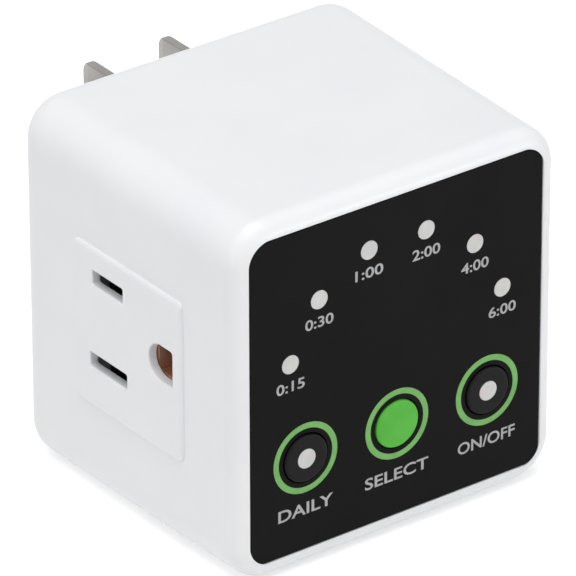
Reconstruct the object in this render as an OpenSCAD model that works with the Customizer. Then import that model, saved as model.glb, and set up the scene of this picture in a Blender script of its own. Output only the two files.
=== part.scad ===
// Plug-in countdown timer switch with an outlet on each side.
// The origin is the centre of the flat face that meets the wall.
// +X is to the right seen from the front, +Y goes into the wall and +Z is up.

/* [Housing] */
// Width and height of the square front
front_w = 53.5; // [51:0.5:60]
// How far each side has leaned out by the time it reaches the wall
side_taper = 0.75; // [0:0.05:1.5]
// Depth from the front rim to the wall
housing_d = 48.5; // [46:0.5:60]
// Radius of the four long edges
long_edge_r = 6; // [5:0.25:8]
// Radius round the front
front_edge_r = 2.6; // [1.5:0.1:3.5]
// Radius round the wall side
rear_edge_r = 4; // [2.5:0.25:4.5]
// Thickness of the side walls, measured at the front
wall_t = 2.35; // [2:0.05:3]
// Thickness of the front wall behind the panel
front_wall_t = 2; // [1.5:0.1:3]
// Radius of the corners inside
cavity_corner_r = 3.6; // [3:0.1:5]

/* [Front panel] */
// Width of the white rim round the panel
rim_w = 2.6; // [2:0.05:4]
// Thickness of the panel
panel_t = 1.2; // [0.8:0.1:2]
// How far the panel lies below the rim
panel_recess = 0.1; // [0:0.05:1]
// Radius of the corners of the panel
panel_corner_r = 2.6; // [1:0.1:4]

/* [Indicators] */
// Radius of the arc of indicator windows
led_arc_r = 18.2; // [15:0.1:19]
// Number of indicator windows on the arc
led_count = 6; // [3:1:7]
// Angle from the first window to the last
led_spread = 150; // [90:5:150]
// Radius of one indicator window
led_window_r = 1.36; // [1:0.02:1.6]
// Width of the strip that joins the light pipes
light_strip_w = 3.6; // [3.2:0.1:4.4]
// Thickness of that strip
light_strip_t = 1.2; // [0.8:0.1:2]
// Length of one light-emitting chip
led_chip_l = 2; // [1.6:0.1:3]
// Width of that chip
led_chip_w = 1.25; // [0.8:0.05:1.6]
// Thickness of that chip
led_chip_t = 0.8; // [0.4:0.1:1]

/* [Buttons] */
// Distance between neighbouring buttons
button_pitch = 15.15; // [13:0.05:15.5]
// How far the row of buttons lies below the middle of the front
button_drop = 10.2; // [9:0.1:12]
// Radius of a button
button_r = 3.5; // [3:0.05:4]
// How far a button stands out of the panel
button_raise = 0.3; // [0.1:0.05:1]
// How far a button travels when it is pressed
button_travel = 0.3; // [0.2:0.02:0.5]
// Radial clearance round a button
button_gap = 0.15; // [0.08:0.01:0.4]
// Radius of the light window in a button
lens_r = 1.43; // [1:0.01:1.8]
// Thickness of the plate behind a button
key_plate_t = 1; // [0.7:0.05:1.5]
// Bevel round the face of a button
button_bevel = 0.25; // [0.1:0.05:0.5]

/* [Switches] */
// Width of a push switch
switch_w = 6; // [5:0.1:6.2]
// Height of a push switch without its plunger
switch_h = 3.5; // [3:0.1:5]
// Radius of its plunger
plunger_r = 1.75; // [1.2:0.05:2]
// How far the plunger stands out of the switch
plunger_out = 0.8; // [0.6:0.05:1.5]
// How far each switch lies below the middle of its button
switch_drop = 5; // [4.6:0.1:5.5]

/* [Boards] */
// Thickness of the circuit boards
board_t = 1.6; // [1:0.1:2]
// Gap between the front board and the side walls
board_margin = 0.5; // [0.3:0.1:1]
// Distance of the front board's screws from the side walls
board_screw_at = 3.2; // [3:0.1:3.6]
// Radius of the posts that the front board sits on
board_post_r = 2.3; // [1.8:0.1:2.5]
// Width of the power board
power_board_w = 33.6; // [32:0.2:34]
// Height of the posts under the power board
power_board_lift = 1.5; // [1:0.1:2]
// Gap between the power board and the wall cover
power_board_rear_gap = 1.5; // [1:0.1:2]

/* [Outlets] */
// Width of an outlet face from front to rear
outlet_w = 24.1; // [23.4:0.1:24.8]
// Height of an outlet face
outlet_h = 24.2; // [24:0.1:25.4]
// How far an outlet face stands out of the side wall
outlet_proud = 0.6; // [0.3:0.05:0.8]
// Distance from the front rim to the middle of an outlet face
outlet_setback = 23.05; // [22.9:0.05:25]
// Thickness of the outlet face round its slots
outlet_plate_t = 1.4; // [1.2:0.05:2]
// Thickness of the wall round the back of the outlet face
outlet_wall_t = 1; // [0.8:0.1:1.2]
// Overlap of the outlet face on the outside of the side wall
outlet_flange = 0.7; // [0.6:0.1:1]
// How far the outlet face reaches in behind the side wall
outlet_reach = 1.2; // [0.8:0.1:2]
// Height of the earth hole above the middle of the left side
outlet_rise = 1.3; // [0:0.1:1.4]
// How far the slots lie behind the middle of the outlet face
slot_shift = 4.25; // [3.75:0.05:4.5]
// Height of a slot
slot_h = 2.2; // [2:0.1:2.4]
// Length of the live slot
live_slot_l = 6.8; // [6.6:0.1:7.2]
// Length of the neutral slot
neutral_slot_l = 8.3; // [8:0.1:8.6]
// Width of the earth hole
earth_hole_w = 5.3; // [5.1:0.1:5.6]
// Distance from the earth pin's axis to the flat side of its hole
earth_flat = 2.45; // [2.4:0.05:2.7]

/* [Plug] */
// Distance between the two blades, and between the two slots
blade_pitch = 12.7; // [12.5:0.1:12.9]
// Distance from the row of blades to the earth pin
earth_pitch = 11.9; // [11.7:0.1:12.1]
// How far the plug lies to the right of the middle
plug_shift = 1.4; // [-2:0.1:2]
// Height of the blades above the middle
blade_rise = 16.4; // [16:0.1:18.2]
// Thickness of a blade
blade_t = 1.5; // [1.4:0.05:1.6]
// Width of a blade
blade_w = 6.35; // [6:0.05:6.5]
// Length of a blade outside the housing
blade_l = 15.9; // [14:0.1:18.2]
// Radius of the corners at a blade's tip
blade_tip_r = 1.7; // [1:0.1:2.5]
// Radius of the hole through a blade
blade_hole_r = 1.6; // [1:0.1:1.8]
// Distance from the wall cover to that hole
blade_hole_at = 11.9; // [10:0.1:12]
// Radius of the earth pin
earth_pin_r = 2.38; // [2.3:0.01:2.42]
// Length of the earth pin outside the housing
earth_pin_l = 20.6; // [18:0.1:21.4]
// Length of the bevel at its tip
earth_pin_tip = 2; // [1:0.1:3]

/* [Wall cover] */
// Thickness of the cover on the wall side
cover_t = 2.5; // [2:0.1:3]
// Gap round the cover
cover_gap = 0.1; // [0.05:0.01:0.3]
// Distance of the cover's screws from the side walls
cover_screw_at = 3.8; // [3.4:0.1:4.4]
// Radius of the corner columns that the cover screws into
column_r = 3.2; // [3:0.1:3.6]
// Thickness of the block that clamps the blades
clamp_t = 2.7; // [2.4:0.1:3.5]
// Thickness of the collars on the blades
collar_t = 1.5; // [1:0.1:2]

/* [Metal strips] */
// Thickness of the bus strips
strip_t = 0.8; // [0.6:0.05:1]
// Width of the bus strips
strip_w = 3; // [2.5:0.1:3.2]
// Distance from one layer of strips to the next
strip_pitch = 2.8; // [2.4:0.1:3]
// Thickness of the outlet contacts
contact_t = 0.6; // [0.4:0.05:0.8]
// Gap between the leaves that hold a blade
leaf_gap = 1.4; // [1.2:0.05:1.5]
// Gap between the leaves that hold an earth pin
earth_leaf_gap = 4.8; // [4.6:0.05:5]

/* [Relay] */
// Width of the relay
relay_w = 15.5; // [15:0.1:16]
// Length of the relay from front to rear
relay_l = 19; // [18.8:0.1:19.4]
// Height of the relay
relay_h = 15.8; // [15:0.1:16.5]
// Wall of the relay's cover
relay_wall = 0.8; // [0.6:0.05:1]
// Angle through which the relay's armature swings
armature_swing = 4.2; // [3:0.1:4.2]
// Gap between the open armature and the core
armature_gap = 0.65; // [0.62:0.01:0.8]
// Distance from the relay's front to the edge that the armature hinges on
hinge_setback = 11.6; // [11.4:0.1:12]
// Distance from that edge to the middle of the coil
coil_setback = 4.9; // [4.7:0.1:5]
// Distance from that edge to the contact under the armature
contact_setback = 10.1; // [9.9:0.1:10.3]
// Radius of the winding
winding_r = 4.2; // [3.8:0.1:4.4]
// Radius of the iron core
core_r = 1.7; // [1.2:0.1:2.2]
// Half the width of the iron bracket
yoke_half_w = 4.6; // [4:0.1:5]
// Thickness of the iron bracket
yoke_t = 1.5; // [1:0.1:1.8]
// Thickness of the armature
armature_t = 1; // [0.8:0.1:1.2]

/* [Components] */
// Width of the film capacitor
film_w = 6; // [5:0.1:6.4]
// Length of the film capacitor
film_l = 13; // [12:0.1:14]
// Radius of the filter capacitor
filter_r = 4; // [3.5:0.1:4.2]
// Radius of the varistor's disc
varistor_r = 4.5; // [4:0.1:4.8]
// Thickness of the varistor's disc
varistor_t = 3.6; // [3:0.1:4.2]
// Radius of the fuse
fuse_r = 1.5; // [1.3:0.05:1.6]
// Length of the fuse
fuse_l = 5.6; // [5:0.1:6]
// Radius of a diode
diode_r = 1.3; // [1.1:0.05:1.4]
// Length of a diode
diode_l = 4.6; // [4:0.1:5]
// Distance from one diode to the next
diode_pitch = 3.2; // [3:0.1:3.3]
// Radius of the round side of the transistor
transistor_r = 2.3; // [2:0.1:2.4]
// Height of the transistor's case
transistor_h = 4.6; // [4:0.1:5]
// Width of a header pin
pin_w = 0.64; // [0.5:0.02:0.7]
// Number of header pins
header_count = 5; // [3:1:5]

/* [Fits] */
// Clearance round pieces that are pressed or glued into a seat
snug_gap = 0.05; // [0.02:0.01:0.1]
// Clearance of pieces that slide in guides
slide_gap = 0.1; // [0.05:0.01:0.2]
// Clearance between a component and its neighbours
part_gap = 0.5; // [0.3:0.05:0.5]
// Radius of a small screw
screw_r = 0.95; // [0.8:0.05:1.1]
// Radius of its head
screw_head_r = 1.9; // [1.6:0.05:2]
// Thickness of its head
screw_head_t = 1.2; // [0.9:0.05:1.4]
// Radial clearance of a screw in the piece that it holds
screw_gap = 0.15; // [0.1:0.01:0.2]
// How much deeper a screw's hole is than the screw
pilot_spare = 0.6; // [0.2:0.1:0.8]
// Radius of a component's wire
lead_r = 0.35; // [0.25:0.01:0.4]

/* [Hidden] */
$fn = 64;
hull_fn = 32;
joint_lap = 0.2;

// Half the width of the housing at depth y, where y runs from -housing_d to 0.
function half_at(y) = front_w / 2 + side_taper * (y + housing_d) / housing_d;

// Where the outer face of the left outlet lies at depth y.
function face_x(y) = -half_at(y) - outlet_proud;

// Front wall, panel and buttons
front_y = -housing_d;
panel_y = front_y + panel_recess;
panel_w = front_w - 2 * rim_w;
pocket_y = panel_y + panel_t;
inner_front_y = pocket_y + front_wall_t;
cavity_half = front_w / 2 - wall_t;
button_face_y = panel_y - button_raise;
key_front_y = inner_front_y + snug_gap;
key_rear_y = key_front_y + key_plate_t;
button_x = [-button_pitch, 0, button_pitch];
key_edge = 0.9;
key_half_w = button_r + key_edge;
key_drop = switch_drop + plunger_r + key_edge / 2;
rail_t = 1;

// Front board
switch_face_y = key_rear_y + plunger_out;
board_y = switch_face_y + switch_h;
board_rear_y = board_y + board_t;
board_half = cavity_half - board_margin;
board_screw_x = cavity_half - board_screw_at;
board_screw_bite = 4.4;
switch_z = -button_drop - switch_drop;
plunger_in = 0.6;

// Outlets
outlet_y = front_y + outlet_setback;
slot_y = outlet_y + slot_shift;
earth_y = slot_y - earth_pitch;
live_z = outlet_rise + blade_pitch / 2;
neutral_z = outlet_rise - blade_pitch / 2;
flange_x = -cavity_half + outlet_reach;
outlet_body_w = outlet_w - 2 * outlet_flange;
outlet_body_h = outlet_h - 2 * outlet_flange;
relay_half_w = relay_w / 2;
block_end_x = -relay_half_w - part_gap / 2;
block_half_h = 9.8;
block_front = 3.6;
block_rear = 5.85;
block_front_y = earth_y - block_front;
block_rear_y = slot_y + block_rear;
ear_r = 2.4;
ear_t = 1.6;
ear_post_r = 1.9;
ear_z = outlet_h / 2 + ear_r + 0.4;
ear_screw_x = flange_x + 3.2;
ear_screw_bite = 3.4;
web_x = block_end_x - 2 * snug_gap - contact_t;
leaf_flare = 0.6;
outlet_edge = outlet_proud / 2;

// Plug and wall cover
column_front_y = board_rear_y + 1.9;
cover_screw_x = cavity_half - cover_screw_at;
cover_screw_sink = screw_head_t + 0.1;
cover_screw_l = 8;
live_blade_x = plug_shift + blade_pitch / 2;
neutral_blade_x = plug_shift - blade_pitch / 2;
earth_pin_z = blade_rise - earth_pitch;
earth_seat_r = earth_pin_r + 0.22;
earth_stub_r = 1.8;
collar_grow = 1.2;
clamp_peg_r = 1.25;
clamp_peg_at = blade_pitch / 2 + collar_grow + clamp_peg_r + 1.4;
first_strip_gap = 0.4;
strip_layer = [for (i = [0:2]) -(cover_t + clamp_t + first_strip_gap + strip_pitch * i)];
half_strip = strip_w / 2;

// Power board
floor_z = -cavity_half;
power_board_z = floor_z + power_board_lift;
deck_z = power_board_z + board_t;
foot_l = 0.6;
foot_z = power_board_z - foot_l;
power_front_y = board_rear_y + 0.95;
power_rear_y = -cover_t - power_board_rear_gap;
power_screw_bite = 2.2;
power_post_r = 2.2;
power_screw_y = power_front_y + power_post_r + 1.3;
power_screw_x = (relay_half_w + power_board_w / 2) / 2 + 2;
power_screw_at = [[-power_screw_x, power_screw_y], [power_screw_x, power_screw_y]];
feed_x = power_board_w / 2 - half_strip - 0.3;
header_pitch = 2.54;
header_size = 2.5;
header_z = deck_z + header_size / 2;

// Relay
relay_rear_y = strip_layer[2] - strip_t - 0.8;
relay_front_y = relay_rear_y - relay_l;
relay_top_z = deck_z + relay_h;
relay_base_t = 1.6;
relay_pin_edge = 2.5;
armature_room = 2.9;
hinge_y = relay_front_y + hinge_setback;
core_y = hinge_y - coil_setback;
core_top_z = relay_top_z - relay_wall - armature_room;
armature_z = core_top_z + armature_gap;
stud_h = 0.4;
contact_y = hinge_y - contact_setback;
coil_floor_z = deck_z + relay_base_t + 0.9;
bobbin_top_z = core_top_z - 0.3;

// Components on the power board, each given by its middle [x, y]
component_front_y = power_screw_y + screw_head_r + part_gap;
component_x = relay_half_w + part_gap + filter_r + 0.35;
component_h = -block_half_h - part_gap - deck_z;
film_at = [-component_x + 0.1, component_front_y + 0.6 + film_l / 2];
film_reach = film_l / 2 - 1.5;
filter_at = [component_x, component_front_y + 0.3 + filter_r];
filter_reach = 1.75;
varistor_at = [component_x, relay_rear_y - 3];
varistor_reach = 2.5;
small_part_setback = 4.3;
small_part_y = relay_rear_y + small_part_setback;
diode_x = [for (i = [0:3]) diode_pitch * i - relay_half_w + 1.15];
diode_reach = diode_l / 2 + 0.9;
fuse_at = [diode_x[3] + diode_r + fuse_r + part_gap + 0.1, small_part_y];
fuse_reach = fuse_l / 2 + 0.7;
transistor_pitch = 1.27;
transistor_setback = 6;
transistor_at = [-power_screw_x, relay_rear_y + transistor_setback];

// The two wires of a component, reach before and behind its middle
function pair_y(at, reach) = [[at[0], at[1] - reach], [at[0], at[1] + reach]];
relay_pin_x = 5;
relay_pin_y = [relay_front_y + relay_pin_edge, relay_rear_y - relay_pin_edge];
relay_pin_at = [for (x = [-relay_pin_x, relay_pin_x], y = relay_pin_y) [x, y]];
transistor_wire_at = [for (i = [-1:1]) [transistor_at[0] + transistor_pitch * i, transistor_at[1]]];
wire_at = concat(
    pair_y(film_at, film_reach),
    pair_y(filter_at, filter_reach),
    pair_y(varistor_at, varistor_reach),
    pair_y(fuse_at, fuse_reach),
    [for (x = diode_x) each pair_y([x, small_part_y], diode_reach)],
    transistor_wire_at,
    relay_pin_at
);

// Draws 2D children in the XZ plane and extends them from y0 to y1.
module along_y(y0, y1) {
    translate([0, y1, 0]) rotate([90, 0, 0]) linear_extrude(y1 - y0) children();
}

// Draws 2D children in the YZ plane and extends them from x0 to x1.
module along_x(x0, x1) {
    translate([x0, 0, 0]) rotate([90, 0, 90]) linear_extrude(x1 - x0) children();
}

// A box between two opposite corners.
module span(low, high) {
    translate(low) cube(high - low);
}

module round_rect(w, h, r) {
    square([w - 2 * r, h], center = true);
    square([w, h - 2 * r], center = true);
    for (x = [-1, 1]) {
        for (z = [-1, 1]) {
            translate([x * (w / 2 - r), z * (h / 2 - r)]) circle(r);
        }
    }
}

// A flat arc of the given middle radius, above the line z = low.
module arc_strip(r, w, low) {
    intersection() {
        difference() {
            circle(r + w / 2);
            circle(r - w / 2);
        }
        translate([-r - w, low]) square([2 * (r + w), r + w]);
    }
}

// Puts children at every corner of a square in the XZ plane.
module at_corners(d) {
    for (x = [-1, 1]) {
        for (z = [-1, 1]) {
            translate([x * d, 0, z * d]) children();
        }
    }
}

module at_buttons() {
    for (x = button_x) {
        translate([x, 0, -button_drop]) children();
    }
}

module at_windows() {
    for (i = [0:led_count - 1]) {
        turn = 90 + led_spread * (i / (led_count - 1) - 0.5);
        translate([led_arc_r * cos(turn), 0, led_arc_r * sin(turn)]) children();
    }
}

// Turns a piece of the left outlet into the matching piece of the right one.
module opposite() {
    rotate([0, 180, 0]) children();
}

// A cross-head screw: head from 0 to -head_t, shaft of the given length above it, along Z.
module screw(shaft_l, r = screw_r, head_r = screw_head_r, head_t = screw_head_t) {
    difference() {
        union() {
            cylinder(r = r, h = shaft_l);
            translate([0, 0, -head_t]) cylinder(r = head_r, h = head_t);
        }
        for (turn = [0, 90]) {
            rotate([0, 0, turn]) translate([-head_r * 0.6, -0.2, -head_t - 1])
                cube([head_r * 1.2, 0.4, 1 + head_t * 0.6]);
        }
    }
}

// ---- housing ----

// One corner of the housing's outer form, rounded by edge_r towards the face at y.
module form_corner(edge_r) {
    rotate([90, 0, 0]) rotate_extrude($fn = hull_fn * 2) intersection() {
        translate([long_edge_r - edge_r, 0]) circle(edge_r, $fn = hull_fn);
        translate([0, -edge_r]) square([long_edge_r, 2 * edge_r]);
    }
}

module outer_form() {
    front_ring_y = front_y + front_edge_r;
    rear_ring_y = -rear_edge_r;
    hull() {
        translate([0, front_ring_y, 0])
            at_corners(half_at(front_ring_y) - long_edge_r) form_corner(front_edge_r);
        translate([0, rear_ring_y, 0])
            at_corners(half_at(rear_ring_y) - long_edge_r) form_corner(rear_edge_r);
    }
}

// The column in one corner, grown into both walls.
module column_outline() {
    intersection() {
        round_rect(
            2 * (cavity_half + joint_lap),
            2 * (cavity_half + joint_lap),
            cavity_corner_r + joint_lap
        );
        union() {
            translate([cover_screw_x, cover_screw_x]) circle(column_r);
            translate([cover_screw_x, cover_screw_x - column_r]) square([front_w, front_w + column_r]);
            translate([cover_screw_x - column_r, cover_screw_x]) square([front_w + column_r, front_w]);
        }
    }
}

module columns() {
    for (x = [0, 1]) {
        for (z = [0, 1]) {
            mirror([x, 0, 0]) mirror([0, 0, z]) along_y(column_front_y, -cover_t) column_outline();
        }
    }
}

module board_posts() {
    at_corners(board_screw_x) along_y(inner_front_y - joint_lap, board_y) circle(board_post_r);
}

// Rails that guide the plate behind each button.
module key_rails() {
    rail_x = key_half_w + slide_gap;
    at_buttons() for (side = [0, 1]) {
        mirror([side, 0, 0]) span(
            [rail_x, inner_front_y - joint_lap, -key_drop],
            [rail_x + rail_t, key_rear_y + button_travel + slide_gap, key_half_w]
        );
    }
}

module ear_posts() {
    for (z = [-ear_z, ear_z]) {
        translate([0, outlet_y, z]) along_x(-cavity_half - joint_lap, ear_screw_x) circle(ear_post_r);
    }
}

module power_board_posts() {
    for (p = power_screw_at) {
        translate([p[0], p[1], floor_z - joint_lap])
            cylinder(r = power_post_r, h = power_board_lift + joint_lap);
    }
}

module outlet_window() {
    along_x(-front_w, -cavity_half + 1)
        translate([outlet_y, 0])
            square([outlet_body_w + 2 * snug_gap, outlet_body_h + 2 * snug_gap], center = true);
}

// A hole for a screw whose tip reaches the given depth, drilled along +Z from the screw's seat.
module pilot(bite) {
    translate([0, 0, -1]) cylinder(r = screw_r + snug_gap, h = 1 + bite + pilot_spare);
}

// Room for the strip that brings the current to the power board, where a column would be in its way.
module feed_strip_room() {
    along_y(strip_layer[0] - strip_t - part_gap, strip_layer[0] + part_gap)
        bar([0, foot_z], [feed_x + half_strip + part_gap, blade_rise + half_strip + part_gap]);
}

module housing() {
    color("white") difference() {
        union() {
            difference() {
                outer_form();
                along_y(inner_front_y, 1) round_rect(2 * cavity_half, 2 * cavity_half, cavity_corner_r);
            }
            columns();
            board_posts();
            key_rails();
            ear_posts();
            opposite() ear_posts();
            power_board_posts();
        }
        along_y(front_y - 1, pocket_y)
            round_rect(panel_w + 2 * snug_gap, panel_w + 2 * snug_gap, panel_corner_r);
        at_windows() along_y(front_y, inner_front_y + 1) circle(led_window_r + snug_gap);
        at_buttons() along_y(front_y, inner_front_y + 1) circle(button_r + button_gap);
        outlet_window();
        opposite() outlet_window();
        at_corners(cover_screw_x)
            translate([0, -cover_screw_sink, 0]) rotate([90, 0, 0]) pilot(cover_screw_l);
        at_corners(board_screw_x)
            translate([0, board_y, 0]) rotate([90, 0, 0]) pilot(board_screw_bite);
        for (side = [0, 180], z = [-ear_z, ear_z]) {
            rotate([0, side, 0])
                translate([ear_screw_x, outlet_y, z]) rotate([0, -90, 0]) pilot(ear_screw_bite);
        }
        for (p = power_screw_at) {
            translate([p[0], p[1], power_board_z]) rotate([180, 0, 0]) pilot(power_screw_bite);
        }
        feed_strip_room();
    }
}

// ---- wall cover and plug ----

module at_clamp_pegs() {
    for (side = [-1, 1]) {
        translate([plug_shift + side * clamp_peg_at, 0, earth_pin_z]) children();
    }
}

module rear_cover() {
    cover_w = 2 * (cavity_half - cover_gap);
    ledge_x = 9;
    ledge_half_w = 1.5;
    ledge_l = 2.5;
    ledge_t = 1.3;
    color("white") difference() {
        union() {
            along_y(-cover_t, 0) round_rect(cover_w, cover_w, cavity_corner_r - cover_gap);
            at_clamp_pegs() along_y(-cover_t - clamp_t - 0.3, -cover_t + joint_lap) circle(clamp_peg_r);
            for (x = [-ledge_x, ledge_x]) {
                span(
                    [x - ledge_half_w, power_rear_y - ledge_l, power_board_z - ledge_t],
                    [x + ledge_half_w, -cover_t + joint_lap, power_board_z]
                );
            }
        }
        for (x = [live_blade_x, neutral_blade_x]) {
            translate([x, 0, blade_rise]) along_y(-cover_t - 1, 1)
                square([blade_t + 2 * snug_gap, blade_w + 2 * snug_gap], center = true);
        }
        translate([plug_shift, 0, earth_pin_z]) along_y(-cover_t - 1, 1) circle(earth_seat_r + snug_gap);
        at_corners(cover_screw_x) {
            along_y(-cover_t - 1, 1) circle(screw_r + screw_gap);
            along_y(-cover_screw_sink, 1) circle(screw_head_r + 2 * screw_gap);
        }
    }
}

module cover_screws() {
    color("silver") at_corners(cover_screw_x)
        translate([0, -cover_screw_sink, 0]) rotate([90, 0, 0]) screw(cover_screw_l);
}

// A blade's outline in the YZ plane, from its inner end to its tip.
module blade_outline(inner_y) {
    union() {
        translate([inner_y, -blade_w / 2]) square([blade_l - blade_tip_r - inner_y, blade_w]);
        translate([inner_y, -blade_w / 2 + blade_tip_r])
            square([blade_l - inner_y, blade_w - 2 * blade_tip_r]);
        for (z = [-1, 1]) {
            translate([blade_l - blade_tip_r, z * (blade_w / 2 - blade_tip_r)]) circle(blade_tip_r);
        }
        translate([-cover_t - collar_t, -blade_w / 2 - collar_grow])
            square([collar_t, blade_w + 2 * collar_grow]);
    }
}

// One blade standing on x = 0, with its tip thinned from both sides.
module blade(inner_y) {
    tip_l = 1.6;
    tip_cut = 0.4;
    difference() {
        along_x(-blade_t / 2, blade_t / 2) blade_outline(inner_y);
        along_x(-blade_t, blade_t) translate([blade_hole_at, 0]) circle(blade_hole_r);
        for (side = [0, 1]) {
            mirror([side, 0, 0]) translate([0, 0, -blade_w]) linear_extrude(2 * blade_w) polygon([
                [blade_t / 2 + 1, blade_l - tip_l],
                [blade_t / 2, blade_l - tip_l],
                [blade_t / 2 - tip_cut, blade_l + 0.01],
                [blade_t / 2 + 1, blade_l + 0.01]
            ]);
        }
    }
}

module live_blade() {
    color("silver") translate([live_blade_x, 0, blade_rise]) blade(strip_layer[0]);
}

module neutral_blade() {
    color("silver") translate([neutral_blade_x, 0, blade_rise]) blade(strip_layer[2]);
}

module earth_pin() {
    straight_l = earth_pin_l - earth_pin_tip;
    tip_r = earth_pin_r * 0.45;
    color("silver") translate([plug_shift, 0, earth_pin_z]) rotate([-90, 0, 0]) {
        cylinder(r = earth_pin_r, h = straight_l);
        translate([0, 0, straight_l])
            cylinder(r1 = earth_pin_r, r2 = tip_r, h = earth_pin_tip);
        translate([0, 0, -cover_t]) cylinder(r = earth_seat_r, h = cover_t);
        translate([0, 0, -cover_t - collar_t]) cylinder(r = earth_pin_r + collar_grow, h = collar_t);
        translate([0, 0, strip_layer[0]]) cylinder(r = earth_stub_r, h = -strip_layer[0] - cover_t);
    }
}

// The block that clamps the collars of the blades against the wall cover.
module blade_clamp() {
    clamp_edge = 0.6;
    clamp_half_w = clamp_peg_at + clamp_peg_r + 2 * clamp_edge;
    clamp_low = earth_pin_z - earth_pin_r - collar_grow - clamp_edge;
    clamp_high = blade_rise + blade_w / 2 + collar_grow + clamp_edge;
    fit = snug_gap;
    color("dimgray") difference() {
        span(
            [plug_shift - clamp_half_w, -cover_t - clamp_t, clamp_low],
            [plug_shift + clamp_half_w, -cover_t, clamp_high]
        );
        for (x = [live_blade_x, neutral_blade_x]) {
            translate([x, 0, blade_rise]) {
                along_y(-cover_t - clamp_t - 1, 0)
                    square([blade_t + 2 * fit, blade_w + 2 * fit], center = true);
                along_y(-cover_t - collar_t, 0)
                    square([blade_t + 2 * fit, blade_w + 2 * (collar_grow + fit)], center = true);
            }
        }
        translate([plug_shift, 0, earth_pin_z]) {
            along_y(-cover_t - clamp_t - 1, 0) circle(earth_stub_r + fit);
            along_y(-cover_t - collar_t, 0) circle(earth_pin_r + collar_grow + fit);
        }
        at_clamp_pegs() along_y(-cover_t - clamp_t - 1, 0) circle(clamp_peg_r + fit);
    }
}

// ---- front panel, windows and buttons ----

module front_panel() {
    color([0.11, 0.11, 0.11]) difference() {
        along_y(panel_y, pocket_y) round_rect(panel_w, panel_w, panel_corner_r);
        at_windows() along_y(panel_y - 1, pocket_y + 1) circle(led_window_r + snug_gap);
        at_buttons() along_y(panel_y - 1, pocket_y + 1) circle(button_r + button_gap);
    }
}

module light_guide() {
    strip_end = 1.6;
    strip_low = led_arc_r * sin(90 - led_spread / 2) - led_window_r - strip_end;
    color([0.85, 0.85, 0.83]) {
        at_windows() along_y(panel_y, inner_front_y + joint_lap) circle(led_window_r);
        along_y(inner_front_y, inner_front_y + light_strip_t)
            arc_strip(led_arc_r, light_strip_w, strip_low);
    }
}

// A button with the plate behind it that reaches down to its switch.
module button(x, bore_r) {
    translate([x, 0, -button_drop]) difference() {
        union() {
            translate([0, button_face_y + button_bevel, 0]) rotate([90, 0, 0])
                cylinder(r1 = button_r, r2 = button_r - button_bevel, h = button_bevel);
            along_y(button_face_y + button_bevel, key_front_y + joint_lap) circle(button_r);
            span([-key_half_w, key_front_y, -key_drop], [key_half_w, key_rear_y, key_half_w]);
        }
        if (bore_r > 0) {
            along_y(button_face_y - 1, key_rear_y + 1) circle(bore_r);
        }
    }
}

module button_lens(x) {
    translate([x, 0, -button_drop]) along_y(button_face_y, key_rear_y) circle(lens_r);
}

module repeat_button() {
    color([0.11, 0.11, 0.11]) button(button_x[0], lens_r + snug_gap);
}

module select_button() {
    color([0.36, 0.75, 0.27]) button(button_x[1], 0);
}

module power_button() {
    color([0.11, 0.11, 0.11]) button(button_x[2], lens_r + snug_gap);
}

module repeat_lens() {
    color([0.85, 0.85, 0.83]) button_lens(button_x[0]);
}

module power_lens() {
    color([0.85, 0.85, 0.83]) button_lens(button_x[2]);
}

// ---- push switches ----

module plunger(x) {
    color("black") translate([x, 0, switch_z])
        along_y(key_rear_y, switch_face_y + plunger_in) circle(plunger_r);
}

module repeat_plunger() {
    plunger(button_x[0]);
}

module select_plunger() {
    plunger(button_x[1]);
}

module power_plunger() {
    plunger(button_x[2]);
}

module switch_bodies() {
    well = plunger_in + button_travel + 0.3;
    leg_l = 1.2;
    leg_w = 0.7;
    leg_t = 0.3;
    leg_edge = 0.8;
    color("dimgray") for (x = button_x) {
        translate([x, 0, switch_z]) difference() {
            union() {
                along_y(switch_face_y, board_y) square(switch_w, center = true);
                for (side = [-1, 1], z = [-1, 1]) {
                    translate([side * (switch_w / 2 + leg_l / 4), 0, z * (switch_w / 2 - leg_edge)])
                        along_y(board_y - leg_t, board_y) square([leg_l, leg_w], center = true);
                }
            }
            along_y(switch_face_y - 1, switch_face_y + well) circle(plunger_r + slide_gap);
        }
    }
}

// ---- front board ----

module header_pins() {
    bend_y = power_front_y + header_size / 2 + pin_w / 2;
    color("gold") for (i = [0:header_count - 1]) {
        x = (i - (header_count - 1) / 2) * header_pitch;
        translate([x - pin_w / 2, 0, 0]) {
            span([0, board_y - foot_l, header_z - pin_w / 2], [pin_w, bend_y, header_z + pin_w / 2]);
            span([0, bend_y - pin_w, foot_z], [pin_w, bend_y, header_z]);
        }
    }
}

module header_base() {
    half_w = header_count * header_pitch / 2;
    color("black") difference() {
        span(
            [-half_w, power_front_y, deck_z],
            [half_w, power_front_y + header_size, deck_z + header_size]
        );
        header_pins();
    }
}

module control_board() {
    color("darkgreen") difference() {
        along_y(board_y, board_rear_y)
            round_rect(2 * board_half, 2 * board_half, cavity_corner_r - board_margin);
        at_corners(board_screw_x) along_y(board_y - 1, board_rear_y + 1) circle(screw_r + screw_gap);
        header_pins();
    }
}

module control_board_screws() {
    color("silver") at_corners(board_screw_x)
        translate([0, board_rear_y, 0]) rotate([90, 0, 0]) screw(board_t + board_screw_bite);
}

module indicator_chip() {
    along_y(board_y - led_chip_t, board_y) square([led_chip_l, led_chip_w], center = true);
}

module indicator_chips() {
    color("lightyellow") {
        at_windows() indicator_chip();
        for (x = [button_x[0], button_x[2]]) {
            translate([x, 0, -button_drop]) indicator_chip();
        }
    }
}

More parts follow.
